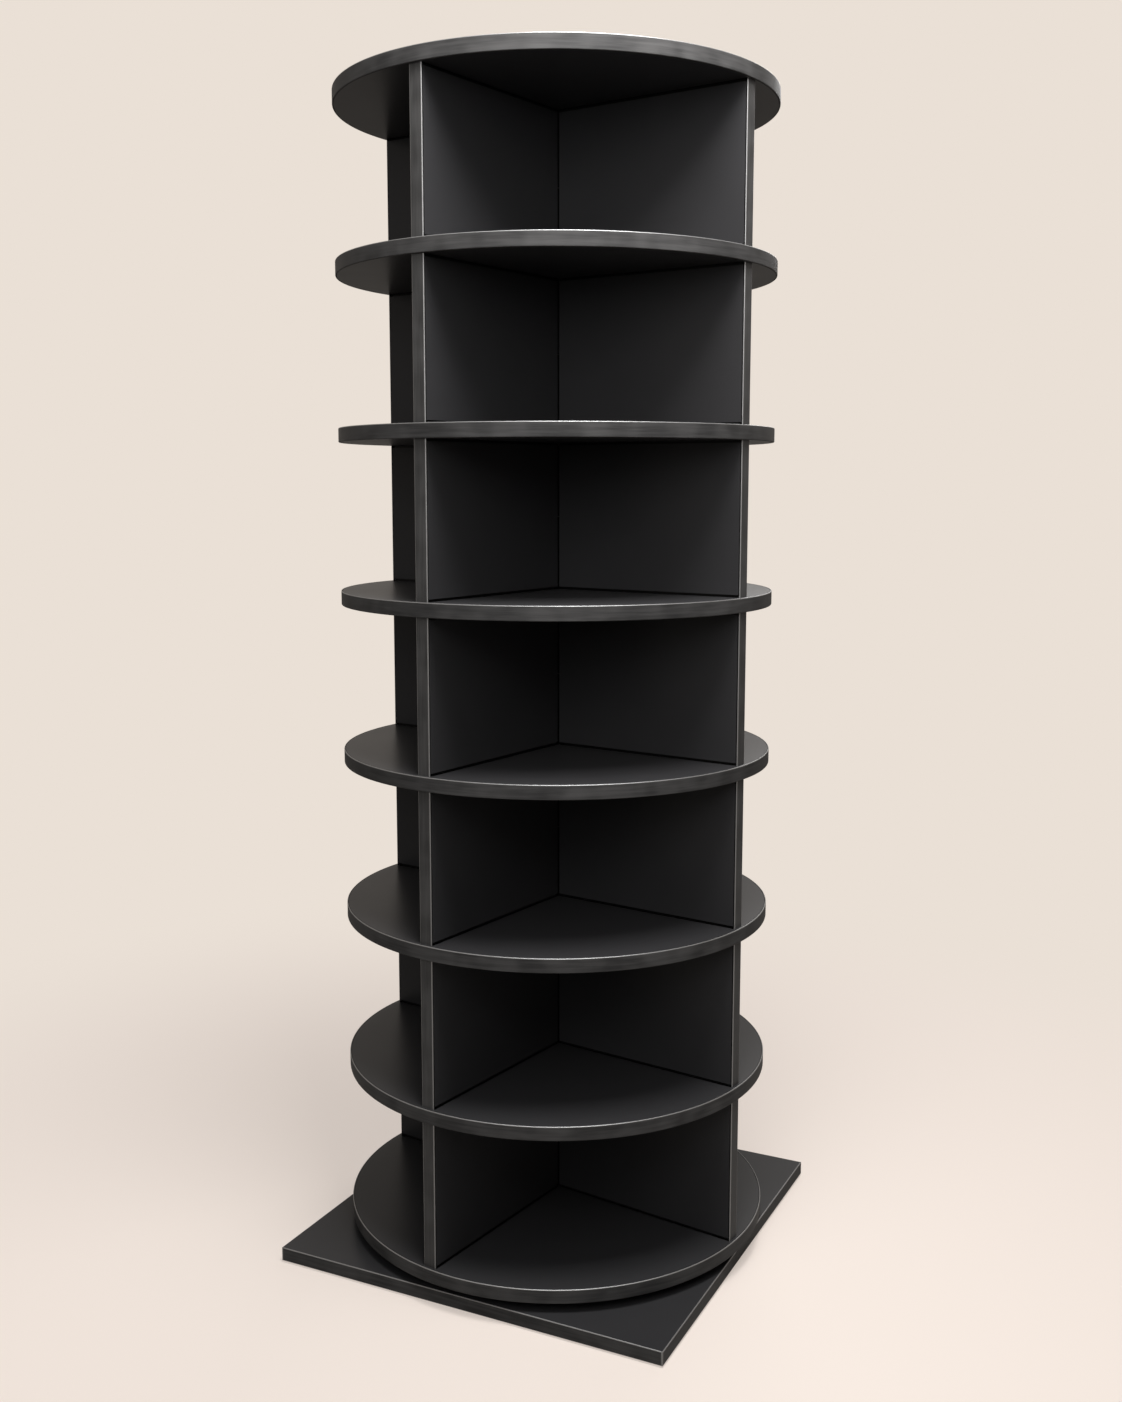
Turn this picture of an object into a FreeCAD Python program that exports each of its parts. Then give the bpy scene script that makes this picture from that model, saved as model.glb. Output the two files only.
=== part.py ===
import FreeCAD, Part
import math
import os
from FreeCAD import Vector

# A rotating shoe tower, in millimetres.
# Seven tiers of crossed dividers stand between eight round shelves, four compartments to a tier.
# The tower turns on a ball turntable, which lies between its lowest shelf and a square base board.
# The origin is on the floor, on the turning axis, and +Z is up. At rest the dividers lie along X and Y.

# Boards
BOARD = 16.0  # thickness of every melamine-faced board
EDGE_BAND = 1.0  # plastic strip glued to the boards' open edges
SHELF_DIAMETER = 500.0  # over the edge band
TIERS = 7
TIER_HEIGHT = 168.0  # clear height between two shelves
DIVIDER_INSET = 4.0  # from a shelf's rim in to a divider's finished end
LAP_CLEARANCE = 0.1  # on every side of a halving slot

# Base
BASE_SIDE = 480.0  # over the edge band
BASE_TURN = 8.5  # degrees from the dividers at rest, counter-clockwise from above
PAD_SIDE = 25.0
PAD_THICKNESS = 2.0
PAD_INSET = 18.0  # from the base's edges in to a pad
ACCESS_HOLE_DIAMETER = 20.0  # for driving the inner ring's screws from below

# Turntable: two ring-shaped races with a row of balls between them
TURNTABLE_HEIGHT = 11.0  # from the base board to the lowest shelf
BALL_CIRCLE_DIAMETER = 270.0
BALL_DIAMETER = 6.0
BALL_COUNT = 15
RACE_CLEARANCE = 0.05  # between a ball and each flank of a race
RING_WIDTH = 16.0  # across one ring's section
RING_GAP = 2.6  # between the two rings' lips
RING_LIFT = 1.2  # from a ring to the board that it isn't screwed to
CAGE_WALL = 1.2
CAGE_HEIGHT = 9.0
POCKET_CLEARANCE = 0.1  # between a ball and the sides of its pocket

# Screws of the two rings, with 90-degree countersunk heads
RING_SCREWS = 4  # in each ring
RING_SCREW_TURN = 45.0  # degrees from the dividers; the outer ring's screws turn with the base too
RING_SCREW_LENGTH = 20.0
RING_SCREW_SHANK = 4.0
RING_SCREW_HEAD = 8.0
RING_SCREW_EDGE = 6.0  # from a ring's free edge in to its screws

# Dowels
DOWEL_DIAMETER = 8.0
DOWEL_END_DISTANCE = 66.0  # from a divider's bare end in to a dowel
DOWEL_IN_DIVIDER = 20.0
DOWEL_IN_SHELF = 10.0  # in the lowest and the top shelf; the others are drilled through
HOLE_ROOM = 1.0  # left past the end of a dowel or a screw

FIT_CLEARANCE = 0.05  # between a fastener and its hole
FASTENER_SIDE_COUNT = 6  # of each dowel, screw and hole
BALL_SIDE_COUNT = 8  # round a ball, with half as many levels of corners

# Levels and radii that follow from the sizes above
shelf_radius = SHELF_DIAMETER / 2
base_bottom = PAD_THICKNESS
base_top = base_bottom + BOARD
tower_bottom = base_top + TURNTABLE_HEIGHT
ball_level = base_top + TURNTABLE_HEIGHT / 2
ball_circle = BALL_CIRCLE_DIAMETER / 2
tier_pitch = BOARD + TIER_HEIGHT
divider_end = shelf_radius - DIVIDER_INSET
divider_core_end = divider_end - EDGE_BAND
dowel_radius = divider_core_end - DOWEL_END_DISTANCE
ring_screw_offset = RING_GAP / 2 + RING_WIDTH - RING_SCREW_EDGE


def flat_sided(side_count, profile):
    """Solid with flat sides round Z, from its corners' (diameter, level) pairs, lowest first."""
    rings = []
    for diameter, level in profile:
        angles = [2 * math.pi * (side + 0.5) / side_count for side in range(side_count)]
        rings.append([Vector(math.cos(a) * diameter / 2, math.sin(a) * diameter / 2, level) for a in angles])
    outlines = [rings[0], rings[-1]]
    for lower, upper in zip(rings, rings[1:]):
        for side in range(side_count):
            outlines.append([lower[side - 1], lower[side], upper[side], upper[side - 1]])
    faces = [Part.Face(Part.makePolygon(outline + outline[:1])) for outline in outlines]
    shell = Part.makeShell(faces)
    shell.sewShape()
    return Part.makeSolid(shell)


def turned(shape, degrees):
    """Copy of a shape, turned about the tower's axis."""
    return shape.rotated(Vector(0, 0, 0), Vector(0, 0, 1), degrees)


def ring_of(shape, count, start=0.0):
    """Copies of a shape, spaced evenly round the tower's axis."""
    return [turned(shape, start + 360 * step / count) for step in range(count)]


def block(size_x, size_y, bottom, top):
    """Upright block centred on the axis."""
    return Part.makeBox(size_x, size_y, top - bottom, Vector(-size_x / 2, -size_y / 2, bottom))


def revolved(section):
    """Solid turned from a closed (radius, level) outline."""
    points = [Vector(radius, 0, level) for radius, level in section]
    face = Part.Face(Part.makePolygon(points + points[:1]))
    return face.revolve(Vector(0, 0, 0), Vector(0, 0, 1), 360)


def countersunk_screw(clearance=0.0, room=0.0):
    """Ring screw that points down from a head flush at level 0, or its hole."""
    head = RING_SCREW_HEAD + 2 * clearance
    shank = RING_SCREW_SHANK + 2 * clearance
    profile = [(shank, -RING_SCREW_LENGTH - room), (shank, (shank - head) / 2), (head, 0)]
    return flat_sided(FASTENER_SIDE_COUNT, profile)


def shelf_level(number):
    """Level of a shelf's underside. Shelf 1 is the lowest."""
    return tower_bottom + (number - 1) * tier_pitch


def dowel_span(number):
    """Lowest and highest level of the dowels that pass through or into a shelf."""
    low = shelf_level(number) - DOWEL_IN_DIVIDER
    high = shelf_level(number) + BOARD + DOWEL_IN_DIVIDER
    if number == 1:
        low = shelf_level(number) + BOARD - DOWEL_IN_SHELF
    if number == TIERS + 1:
        high = shelf_level(number) + DOWEL_IN_SHELF
    return low, high


def dowels(number, clearance=0.0, room=0.0):
    """Four dowels at a shelf, one on each arm of the dividers, or their holes."""
    low, high = dowel_span(number)
    diameter = DOWEL_DIAMETER + 2 * clearance
    dowel = flat_sided(FASTENER_SIDE_COUNT, [(diameter, low - room), (diameter, high + room)])
    return ring_of(dowel.translated(Vector(dowel_radius, 0, 0)), 4)


def outer_ring_screws(clearance=0.0, room=0.0):
    """Screws down through the outer ring into the base board, or their holes."""
    screw = countersunk_screw(clearance, room)
    place = Vector(ball_circle + ring_screw_offset, 0, tower_bottom - RING_LIFT)
    return ring_of(screw.translated(place), RING_SCREWS, RING_SCREW_TURN + BASE_TURN)


def inner_ring_screws(clearance=0.0, room=0.0):
    """Screws up through the inner ring into the lowest shelf, or their holes."""
    screw = countersunk_screw(clearance, room)
    screw = screw.rotated(Vector(0, 0, 0), Vector(1, 0, 0), 180)
    place = Vector(ball_circle - ring_screw_offset, 0, base_top + RING_LIFT)
    return ring_of(screw.translated(place), RING_SCREWS, RING_SCREW_TURN)


def drilled(board, holes):
    """Board with every hole that reaches into it."""
    reaching = [hole for hole in holes if hole.BoundBox.intersect(board.BoundBox)]
    return board.cut(reaching) if reaching else board


def race_ring(side, low, high):
    """Turntable ring outside (side 1) or inside (side -1) the balls, with a V-shaped race."""
    apex = (BALL_DIAMETER / 2 + RACE_CLEARANCE) * math.sqrt(2)
    lip = RING_GAP / 2
    section = [
        (ball_circle + side * lip, low),
        (ball_circle + side * (lip + RING_WIDTH), low),
        (ball_circle + side * (lip + RING_WIDTH), high),
        (ball_circle + side * lip, high),
        (ball_circle + side * lip, ball_level + apex - lip),
        (ball_circle + side * apex, ball_level),
        (ball_circle + side * lip, ball_level - apex + lip),
    ]
    return revolved(section)


def ball_cage():
    """Thin hoop between the rings, with a square pocket for each ball."""
    inner = ball_circle - CAGE_WALL / 2
    outer = ball_circle + CAGE_WALL / 2
    low = ball_level - CAGE_HEIGHT / 2
    high = ball_level + CAGE_HEIGHT / 2
    hoop = revolved([(inner, low), (outer, low), (outer, high), (inner, high)])
    opening = BALL_DIAMETER + 2 * POCKET_CLEARANCE
    pocket = block(3 * CAGE_WALL, opening, ball_level - opening / 2, ball_level + opening / 2)
    return hoop.cut(ring_of(pocket.translated(Vector(ball_circle, 0, 0)), BALL_COUNT))


def bearing_balls():
    """Row of balls with flat sides, whose corners lie on the ball."""
    levels = BALL_SIDE_COUNT // 2
    latitudes = [math.pi * ((step + 0.5) / levels - 0.5) for step in range(levels)]
    profile = [(BALL_DIAMETER * math.cos(a), BALL_DIAMETER / 2 * math.sin(a)) for a in latitudes]
    ball = flat_sided(BALL_SIDE_COUNT, profile).translated(Vector(ball_circle, 0, ball_level))
    return ring_of(ball, BALL_COUNT)


def divider(level, slot_low, slot_high):
    """Divider along X that fills the shelf's width, with a halving slot at its middle."""
    board = block(2 * divider_core_end, BOARD, level, level + TIER_HEIGHT)
    return board.cut(block(BOARD + 2 * LAP_CLEARANCE, BOARD, slot_low, slot_high))


def crossed_dividers(tier):
    """Two dividers of a tier: one along X with its slot upwards, one along Y with it downwards."""
    level = shelf_level(tier) + BOARD
    middle = level + TIER_HEIGHT / 2
    slot_up = divider(level, middle - LAP_CLEARANCE, level + TIER_HEIGHT)
    slot_down = divider(level, level, middle + LAP_CLEARANCE)
    return slot_up, turned(slot_down, 90)


def divider_edge_bands():
    """Strips on the four open ends of every tier's dividers."""
    strips = []
    for tier in range(1, TIERS + 1):
        level = shelf_level(tier) + BOARD
        strip = block(EDGE_BAND, BOARD, level, level + TIER_HEIGHT)
        strips += ring_of(strip.translated(Vector(divider_end - EDGE_BAND / 2, 0, 0)), 4)
    return strips


def base_board():
    """Square board under the turntable, with the hole for reaching the inner ring's screws."""
    side = BASE_SIDE - 2 * EDGE_BAND
    board = block(side, side, base_bottom, base_top)
    place = Vector(ball_circle - ring_screw_offset, 0, base_bottom)
    access = Part.makeCylinder(ACCESS_HOLE_DIAMETER / 2, BOARD, place)
    return turned(board.cut(turned(access, RING_SCREW_TURN)), BASE_TURN)


def base_edge_bands():
    """Strips on the base board's sides. Two run past the other two at the corners."""
    long_strip = block(EDGE_BAND, BASE_SIDE, base_bottom, base_top)
    short_strip = block(EDGE_BAND, BASE_SIDE - 2 * EDGE_BAND, base_bottom, base_top)
    offset = Vector((BASE_SIDE - EDGE_BAND) / 2, 0, 0)
    strips = ring_of(long_strip.translated(offset), 2, BASE_TURN)
    return strips + ring_of(short_strip.translated(offset), 2, BASE_TURN + 90)


def foot_pads():
    """Anti-slip pads under the base's corners."""
    pad = block(PAD_SIDE, PAD_SIDE, 0, PAD_THICKNESS)
    reach = BASE_SIDE / 2 - PAD_INSET - PAD_SIDE / 2
    return ring_of(pad.translated(Vector(reach, reach, 0)), 4, BASE_TURN)


def tower_parts():
    """Every piece by its node's name."""
    base_holes = outer_ring_screws(FIT_CLEARANCE, HOLE_ROOM)
    tower_holes = inner_ring_screws(FIT_CLEARANCE, HOLE_ROOM)
    for number in range(1, TIERS + 2):
        tower_holes += dowels(number, FIT_CLEARANCE, HOLE_ROOM)

    outer_ring = race_ring(1, base_top, tower_bottom - RING_LIFT)
    inner_ring = race_ring(-1, base_top + RING_LIFT, tower_bottom)
    parts = {
        "base_board": drilled(base_board(), base_holes),
        "base_edge_bands": Part.makeCompound(base_edge_bands()),
        "foot_pads": Part.makeCompound(foot_pads()),
        "turntable_outer_ring": drilled(outer_ring, base_holes),
        "outer_ring_screws": Part.makeCompound(outer_ring_screws()),
        "ball_cage": ball_cage(),
        "bearing_balls": Part.makeCompound(bearing_balls()),
        "turntable_inner_ring": drilled(inner_ring, tower_holes),
        "inner_ring_screws": Part.makeCompound(inner_ring_screws()),
        "divider_edge_bands": Part.makeCompound(divider_edge_bands()),
    }
    all_dowels = []
    for number in range(1, TIERS + 2):
        shelf = Part.makeCylinder(shelf_radius, BOARD, Vector(0, 0, shelf_level(number)))
        parts[f"shelf_{number}"] = drilled(shelf, tower_holes)
        all_dowels += dowels(number)
    parts["shelf_dowels"] = Part.makeCompound(all_dowels)
    for tier in range(1, TIERS + 1):
        slot_up, slot_down = crossed_dividers(tier)
        parts[f"divider_{tier}_slot_up"] = drilled(slot_up, tower_holes)
        parts[f"divider_{tier}_slot_down"] = drilled(slot_down, tower_holes)
    return parts


os.makedirs("parts", exist_ok=True)
for node, shape in tower_parts().items():
    shape.exportStep(f"parts/{node}.step")
    print(f"{node}: {len(shape.Solids)} solid(s), {shape.Volume / 1000:.2f} cm3")
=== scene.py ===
"""Looks of a rotating shoe tower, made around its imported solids.

Every length is in metres. The turning axis is Z and the floor is at level 0.
At rest the crossed dividers lie along X and Y.
"""

import logging
import math
from abc import ABC, abstractmethod
from collections.abc import Callable, Iterable, Sequence
from dataclasses import dataclass, field, replace
from enum import Enum
from typing import Any

import bmesh
import bpy
from bmesh.types import BMEdge, BMesh, BMFace, BMVert
from mathutils import Matrix, Vector


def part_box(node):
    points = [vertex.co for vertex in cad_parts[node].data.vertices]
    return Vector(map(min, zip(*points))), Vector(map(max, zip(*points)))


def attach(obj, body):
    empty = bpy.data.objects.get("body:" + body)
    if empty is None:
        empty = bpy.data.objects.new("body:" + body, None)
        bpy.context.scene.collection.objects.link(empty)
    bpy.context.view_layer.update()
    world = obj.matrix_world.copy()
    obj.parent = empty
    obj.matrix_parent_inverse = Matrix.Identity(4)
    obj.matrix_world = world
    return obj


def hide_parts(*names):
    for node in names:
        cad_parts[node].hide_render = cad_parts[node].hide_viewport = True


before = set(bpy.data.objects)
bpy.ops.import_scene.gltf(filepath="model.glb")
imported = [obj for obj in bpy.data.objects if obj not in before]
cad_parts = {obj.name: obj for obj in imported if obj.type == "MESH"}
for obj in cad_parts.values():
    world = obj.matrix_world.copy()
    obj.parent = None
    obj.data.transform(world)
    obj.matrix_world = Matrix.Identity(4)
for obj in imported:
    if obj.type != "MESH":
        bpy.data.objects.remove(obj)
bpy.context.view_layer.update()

log = logging.getLogger("shoe_tower")

Colour = tuple[float, float, float]
Value = Any  # a number, a tuple or a Shade
Settings = dict[str, Any]
Sockets = dict[str | int, Any]


def level(node: str, end: int) -> float:
    """Level of a CAD node's underside (0) or of its top (1)."""
    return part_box(node)[end].z


def reach(node: str) -> float:
    """Farthest that a CAD node reaches from the axis along X."""
    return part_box(node)[1].x


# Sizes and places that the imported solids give
TIERS = sum(node.endswith("_slot_up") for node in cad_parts)
BASE_BOTTOM = level("base_board", 0)
BASE_TOP = level("base_board", 1)
TOWER_BOTTOM = level("shelf_1", 0)
BOARD = BASE_TOP - BASE_BOTTOM
TIER_HEIGHT = level("divider_1_slot_up", 1) - level("divider_1_slot_up", 0)
RIM = reach("shelf_1")
DIVIDER_END = reach("divider_edge_bands")
EDGE_BAND = DIVIDER_END - reach("divider_1_slot_up")
RING_LIFT = level("turntable_inner_ring", 0) - BASE_TOP  # from a ring to the board that isn't its own
BALL_LEVEL = (BASE_TOP + TOWER_BOTTOM) / 2

# Sizes that several sub-assemblies share
BASE_TURN = math.radians(8.5)  # of the base board from the dividers
BALL_CIRCLE = 0.135
BALL_RADIUS = 0.003
BALL_COUNT = 15
RING_SCREWS = 4
SCREW_OFFSET = 0.0113  # from the balls' circle to a ring's screws
SCREW_TURN = math.radians(45)
QUARTER = math.radians(90)
ARRIS = 0.00095  # rounding of an edge band's outer edges
ARRIS_STEPS = 4  # faces across an arris of a straight band
CORNER_STEPS = 3  # faces across a rounded corner of a turned section
HAIRLINE = 0.00012  # easing of the edges that meet at a glue line
SLACK = 0.00005  # between pieces that fit in one another
TINY = 0.00001  # less than this counts as level, upright or in place
MERGE = TINY / 10  # points nearer than this are one

# What tells the faces and edges of a finished mesh apart
ARRIS_FACE = 0.6 * ARRIS  # the faces of an arris are narrower
FACING_DOWN = -0.1  # upward part of a normal, below which a face looks down
SHARP_ANGLE = math.radians(35)  # an edge between faces at a larger angle stays sharp
ARRIS_HIGHLIGHT_MARK = "arris"  # attribute that is 1 on narrow faces that don't look down, and 0 on others; those upper arrises get a paler colour that is partly a painted highlight
CUT_MARK = "cut"  # attribute that is 1 on the faces that a cut leaves, which melamine paints near-black as shade, and 0 on others


class Body(Enum):
    """Bodies that the pieces ride on."""

    BASE = "base"
    CAGE = "cage"
    TOWER = "tower"


class Side(Enum):
    """Sides of the balls that a turntable ring lies on, with the way from the balls to the ring."""

    OUTER = 1
    INNER = -1


class Grain(Enum):
    """Scales of the coordinates along X, Y and Z, which draw a pattern out along a direction."""

    EVEN = (1.0, 1.0, 1.0)
    LEVEL = (0.05, 0.05, 1.0)
    UPRIGHT = (1.0, 1.0, 0.05)


# ------------------------------------------------------------------ materials


class Shade:
    """Output socket of a node, on which Python's operators add Math nodes."""

    def __init__(self, recipe: "Recipe", socket: bpy.types.NodeSocket) -> None:
        """Keeps the socket and the recipe that it belongs to."""
        self.recipe = recipe
        self.socket = socket

    def __add__(self, other: Value) -> "Shade":
        """Sum with another value."""
        return self.recipe.maths("ADD", self, other)

    def __radd__(self, other: float) -> "Shade":
        """Sum with a number on the left."""
        return self.recipe.maths("ADD", other, self)

    def __sub__(self, other: Value) -> "Shade":
        """Difference from another value."""
        return self.recipe.maths("SUBTRACT", self, other)

    def __rsub__(self, other: float) -> "Shade":
        """Difference from a number on the left."""
        return self.recipe.maths("SUBTRACT", other, self)

    def __mul__(self, other: Value) -> "Shade":
        """Product with another value."""
        return self.recipe.maths("MULTIPLY", self, other)

    def __rmul__(self, other: float) -> "Shade":
        """Product with a number on the left."""
        return self.recipe.maths("MULTIPLY", other, self)


class Recipe:
    """Nodes of one material or of the world."""

    def __init__(self, tree: bpy.types.NodeTree) -> None:
        """Starts from an empty node tree."""
        self.tree = tree
        tree.nodes.clear()

    def node(self, kind: str, settings: Settings, sockets: Sockets) -> bpy.types.Node:
        """Adds a node.

        Args:
            kind: The node's type, without its ShaderNode prefix.
            settings: The node's own properties, which are set before its sockets.
            sockets: The value or link of each input, by its name or number.

        Returns:
            The new node.
        """
        node = self.tree.nodes.new("ShaderNode" + kind)
        for name, value in settings.items():
            setattr(node, name, value)
        for name, value in sockets.items():
            if isinstance(value, Shade):
                self.tree.links.new(value.socket, node.inputs[name])
            else:
                node.inputs[name].default_value = value
        return node

    def shade(self, kind: str, settings: Settings, sockets: Sockets, output: str | int = 0) -> Shade:
        """Adds a node and gives the output of a name or number."""
        return Shade(self, self.node(kind, settings, sockets).outputs[output])

    def maths(self, operation: str, first: Value, second: Value) -> Shade:
        """Math node on two values."""
        return self.shade("Math", {"operation": operation}, {0: first, 1: second})

    def place(self) -> Shade:
        """Object coordinates."""
        return self.shade("TexCoord", {}, {}, "Object")

    def stretched(self, grain: Grain) -> Shade:
        """Object coordinates that draw a pattern out."""
        return self.shade("Mapping", {}, {"Vector": self.place(), "Scale": grain.value})

    def noise(self, place: Shade, cell: float, detail: float = 1.0, roughness: float = 0.5) -> Shade:
        """Soft noise from 0 to 1, in patches of a size, with finer layers of a number and strength."""
        sockets = {"Vector": place, "Scale": 1 / cell, "Detail": detail, "Roughness": roughness}
        return self.shade("TexNoise", {}, sockets)

    def step(self, value: Shade, low: float, high: float) -> Shade:
        """Smooth step from 0 at a low value to 1 at a high one."""
        sockets = {"Value": value, "From Min": low, "From Max": high}
        return self.shade("MapRange", {"interpolation_type": "SMOOTHSTEP"}, sockets)

    def blend(self, factor: Value, first: Value, second: Value) -> Shade:
        """Colour between two others, by a factor that is 0 at the first and 1 at the second."""
        ends = [value if isinstance(value, Shade) else (*value, 1.0) for value in (first, second)]
        return self.shade("Mix", {"data_type": "RGBA"}, {0: factor, 6: ends[0], 7: ends[1]}, 2)

    def bump(self, height: Shade, depth: float) -> Shade:
        """Normal of a surface whose height runs from 0 to a depth."""
        return self.shade("Bump", {}, {"Height": height, "Distance": depth, "Strength": 1.0})

    def mark(self, name: str) -> Shade:
        """Attribute of the piece's faces."""
        return self.shade("Attribute", {"attribute_name": name}, {}, "Fac")

    def distance_from_axis(self) -> Shade:
        """Distance from the turning axis."""
        flat = self.shade("VectorMath", {"operation": "MULTIPLY"}, {0: self.place(), 1: (1.0, 1.0, 0.0)})
        return self.shade("VectorMath", {"operation": "LENGTH"}, {0: flat}, "Value")


@dataclass(frozen=True)
class Finish:
    """Surface finish that runs between a dark and a light tone."""

    slot: str  # the record's material slot
    dark: Colour
    light: Colour
    roughness: float
    gloss_range: float = 0.05  # added to the roughness from the dark to the light tone
    cell: float = 0.01  # size of the pattern's patches
    depth: float = 0.00001  # height of the relief
    metallic: float = 0.0
    specular: float = 0.5
    grain: Grain = Grain.EVEN

    def tone(self, recipe: Recipe) -> Shade:
        """Pattern from 0 at the dark tone to 1 at the light one."""
        return recipe.noise(recipe.stretched(self.grain), self.cell, detail=3.0, roughness=0.6)

    def relief(self, recipe: Recipe, tone: Shade) -> Shade:
        """Height of the surface from 0 to 1, which follows the tone unless a finish has its own."""
        return tone

    def colour(self, recipe: Recipe, tone: Shade) -> Shade:
        """Colour by the tone."""
        return recipe.blend(tone, self.dark, self.light)

    def shine(self, recipe: Recipe) -> Sockets:
        """Sockets of the clear coat, which only a finish that has one gives."""
        return {}

    def material(self) -> bpy.types.Material:
        """Makes the finish's material, or finds the one that an earlier piece wears.

        Returns:
            The material.
        """
        name = f"{self.slot}_{self.grain.name.lower()}"
        if name in bpy.data.materials:
            return bpy.data.materials[name]
        made = bpy.data.materials.new(name)
        made.use_nodes = True
        recipe = Recipe(made.node_tree)
        tone = self.tone(recipe)
        sockets = {
            "Base Color": self.colour(recipe, tone),
            "Roughness": self.roughness + self.gloss_range * tone,
            "Normal": recipe.bump(self.relief(recipe, tone), self.depth),
            "Metallic": self.metallic,
            "Specular IOR Level": self.specular,
            **self.shine(recipe),
        }
        surface = recipe.shade("BsdfPrincipled", {}, sockets)
        recipe.node("OutputMaterial", {}, {"Surface": surface})
        return made

    def put_on(self, piece: bpy.types.Object) -> None:
        """Dresses a piece in its finish's material.

        Args:
            piece: The piece.
        """
        piece.data.materials.clear()
        piece.data.materials.append(self.material())


@dataclass(frozen=True)
class Pearled(Finish):
    """Faintly cloudy finish with a fine even pearl. The faces that cuts leave are painted near-black as
    shade.
    """

    pearl: float = 0.0011  # size of the pearl's grains
    # near-black painted shade on the faces that cuts leave in melamine
    painted_cut_shade: Colour = (0.003, 0.003, 0.003)

    def colour(self, recipe: Recipe, tone: Shade) -> Shade:
        """Colour by the tone, and near-black painted shade in cuts."""
        return recipe.blend(recipe.mark(CUT_MARK), super().colour(recipe, tone), self.painted_cut_shade)

    def relief(self, recipe: Recipe, tone: Shade) -> Shade:
        """Fine pearl over the whole surface."""
        return recipe.noise(recipe.place(), self.pearl)


@dataclass(frozen=True)
class Drawn(Finish):
    """Finish of a drawn plastic strip, streaked along it, whose upper arrises are buffed and paler:
    scraped pale, and partly a painted highlight.
    """

    # paler colour of the upper arrises: the whitening of a trimmed strip, and partly a painted highlight
    scraped_and_painted_highlight: Colour = (0.075, 0.075, 0.075)
    buffed: float = 0.45  # roughness of the arrises' coat
    coat_index: float = 3.0  # refractive index of the arrises' coat
    wave: float = 0.03  # size of the faint patches under the streaks
    streak_share: float = 0.5  # share of the streaks in the tone, where the patches have the rest
    contrast: tuple[float, float] = (0.3, 0.7)  # noise at the dark tone and at the light one

    def tone(self, recipe: Recipe) -> Shade:
        """Draws streaks, with faint patches under them.

        Args:
            recipe: The material's nodes.

        Returns:
            The tone, from 0 to 1.
        """
        streaks = recipe.noise(recipe.stretched(self.grain), self.cell, detail=3.0, roughness=0.6)
        patches = recipe.noise(recipe.place(), self.wave)
        drawn = self.streak_share * recipe.step(streaks, *self.contrast)
        return drawn + (1 - self.streak_share) * recipe.step(patches, *self.contrast)

    def colour(self, recipe: Recipe, tone: Shade) -> Shade:
        """Colour by the tone, and the paler one on the upper arrises, which is partly a painted highlight.
        """
        return recipe.blend(recipe.mark(ARRIS_HIGHLIGHT_MARK), super().colour(recipe, tone), self.scraped_and_painted_highlight)

    def shine(self, recipe: Recipe) -> Sockets:
        """Coat on the arrises alone."""
        coat = {"Coat Roughness": self.buffed, "Coat IOR": self.coat_index}
        return {"Coat Weight": recipe.mark(ARRIS_HIGHLIGHT_MARK), **coat}


@dataclass(frozen=True)
class Turned(Finish):
    """Finish with the fine rings that a turning tool leaves about the axis."""

    ring_share: float = 0.7  # share of the rings in the tone, where the smudges have the rest
    smudge: float = 0.02  # size of the smudges

    def tone(self, recipe: Recipe) -> Shade:
        """Draws rings by the distance from the axis, with smudges over them.

        Args:
            recipe: The material's nodes.

        Returns:
            The tone, from 0 to 1.
        """
        line = recipe.shade("CombineXYZ", {}, {"X": recipe.distance_from_axis()})
        smudges = recipe.noise(recipe.place(), self.smudge, detail=3.0)
        rings = recipe.noise(line, self.cell, detail=2.0, roughness=0.7)
        return self.ring_share * rings + (1 - self.ring_share) * smudges


@dataclass(frozen=True)
class Wooden(Finish):
    """Finish with fibres that run upwards and short dark flecks between them."""

    fineness: float = 3.0  # size of the fibres over that of the flecks
    fleck_share: float = 0.8  # how far a fleck darkens the tone
    fleck_edge: tuple[float, float] = (0.62, 0.72)  # noise outside a fleck and inside it

    def tone(self, recipe: Recipe) -> Shade:
        """Draws fibres, less the flecks.

        Args:
            recipe: The material's nodes.

        Returns:
            The tone, from 0 to 1.
        """
        fibres = recipe.noise(recipe.stretched(Grain.UPRIGHT), self.cell, detail=4.0, roughness=0.65)
        flecks = recipe.noise(recipe.stretched(Grain.UPRIGHT), self.cell / self.fineness)
        return fibres - self.fleck_share * recipe.step(flecks, *self.fleck_edge)


MELAMINE = Pearled(
    "black_melamine",
    dark=(0.0333, 0.0326, 0.0341),
    light=(0.0413, 0.0405, 0.0423),
    roughness=0.30,
    gloss_range=0.06,
    cell=0.09,
    depth=0.000012,
    specular=0.2,
)
RIM_BAND = Drawn(
    "black_edge_band",
    dark=(0.0364, 0.0356, 0.0355),
    light=(0.0884, 0.0858, 0.0845),
    roughness=0.42,
    gloss_range=0.16,
    cell=0.0032,
    depth=0.000003,
    specular=0.15,
    grain=Grain.LEVEL,
)
END_BAND = replace(
    RIM_BAND,
    dark=(0.0367, 0.0360, 0.0359),
    light=(0.0842, 0.0821, 0.0810),
    specular=0.4,
    grain=Grain.UPRIGHT,
)
RUBBER = Finish(
    "foot_rubber",
    dark=(0.016, 0.016, 0.016),
    light=(0.030, 0.030, 0.030),
    roughness=0.75,
    gloss_range=0.15,
    cell=0.0006,
    depth=0.00006,
)
ALUMINIUM = Turned(
    "ring_aluminium",
    dark=(0.58, 0.58, 0.60),
    light=(0.76, 0.76, 0.77),
    roughness=0.28,
    gloss_range=0.16,
    cell=0.0005,
    depth=0.000006,
    metallic=1.0,
)
ZINC = Finish(
    "screw_steel",
    dark=(0.50, 0.51, 0.53),
    light=(0.70, 0.71, 0.73),
    roughness=0.26,
    gloss_range=0.20,
    cell=0.0012,
    depth=0.000008,
    metallic=1.0,
)
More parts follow.
